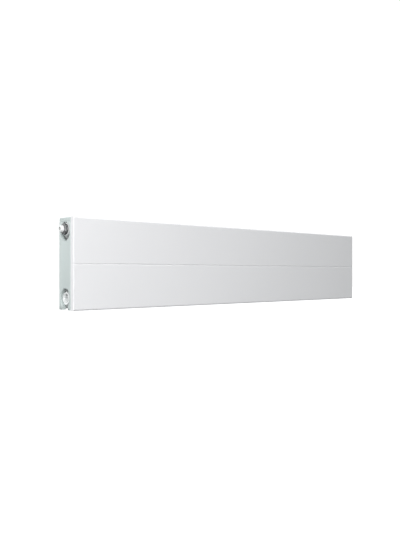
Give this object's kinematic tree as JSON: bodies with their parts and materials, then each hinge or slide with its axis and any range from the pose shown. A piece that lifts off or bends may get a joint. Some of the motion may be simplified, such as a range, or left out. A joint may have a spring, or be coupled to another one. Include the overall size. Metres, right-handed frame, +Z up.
{
  "type": "radiator",
  "caption": "Low, long white panel radiator with a flat grooved front plate, slotted top grille, side covers, open pipe sockets and an air vent.",
  "frame": {"origin": "the point the wall holds: midway between the hook seats of the two upper lugs, on the lugs' back faces", "axes": "+X along the radiator to its right-hand end as seen from the front, +Y from the front plate to the wall, +Z up"},
  "size_m": [1.0153, 0.072, 0.2],
  "materials": {
    "front_enamel": "satin white powder coat",
    "cover_enamel": "satin white powder coat",
    "panel_enamel": "satin white enamel",
    "spring_steel": "zinc-plated spring steel",
    "nickel_plate": "bright nickel plate",
    "brass_screw": "machined",
    "white_plastic": "moulded white",
    "black_rubber": "matt",
    "bonding_foam": "matt foam tape"
  },
  "bodies": {
    "radiator": {"front_plate": "front_enamel", "bonding_strip_bottom": "bonding_foam", "bonding_strip_top": "bonding_foam", "front_panel_outer_shell": "panel_enamel", "front_panel_inner_shell": "panel_enamel", "convector": "panel_enamel", "rear_panel_inner_shell": "panel_enamel", "rear_panel_outer_shell": "panel_enamel", "side_cover_left": "cover_enamel", "plate_clip_left": "spring_steel", "lug_top_left": "panel_enamel", "lug_bottom_left": "panel_enamel", "tee_bottom_left": "panel_enamel", "socket_bottom_left": "panel_enamel", "tee_top_left": "panel_enamel", "socket_top_left": "panel_enamel", "side_cover_right": "cover_enamel", "plate_clip_right": "spring_steel", "lug_top_right": "panel_enamel", "lug_bottom_right": "panel_enamel", "tee_bottom_right": "panel_enamel", "socket_bottom_right": "panel_enamel", "tee_top_right": "panel_enamel", "socket_top_right": "panel_enamel", "vent_plug_body": "nickel_plate", "vent_plug_seal": "black_rubber", "blanking_plug": "nickel_plate", "blanking_plug_seal": "black_rubber"},
    "grille": {"top_grille": "cover_enamel"},
    "vent_cap": {"vent_nozzle": "white_plastic"},
    "vent_seat": {"vent_seat_seal": "black_rubber"},
    "bleed_screw": {"vent_screw": "brass_screw"}
  },
  "joints": [
    {"name": "grille_lift", "type": "slide", "parent": "radiator", "child": "grille", "axis": [0, 0, 1], "range_m": [0, 0.02]},
    {"name": "cap_swivel", "type": "hinge", "parent": "radiator", "child": "vent_cap", "pos_m": [-0.511, -0.0345, 0.037], "axis": [-1, 0, 0], "continuous": true},
    {"name": "screw_travel", "type": "slide", "parent": "radiator", "child": "vent_seat", "axis": [-1, 0, 0], "range_m": [0, 0.001]},
    {"name": "screw_turn", "type": "hinge", "parent": "vent_seat", "child": "bleed_screw", "pos_m": [-0.508, -0.0345, 0.037], "axis": [-1, 0, 0], "range_deg": [0, 360]}
  ],
  "couplings": [
    {"joint": "screw_turn", "follows": "screw_travel", "rad_per_m": 6283.2}
  ]
}
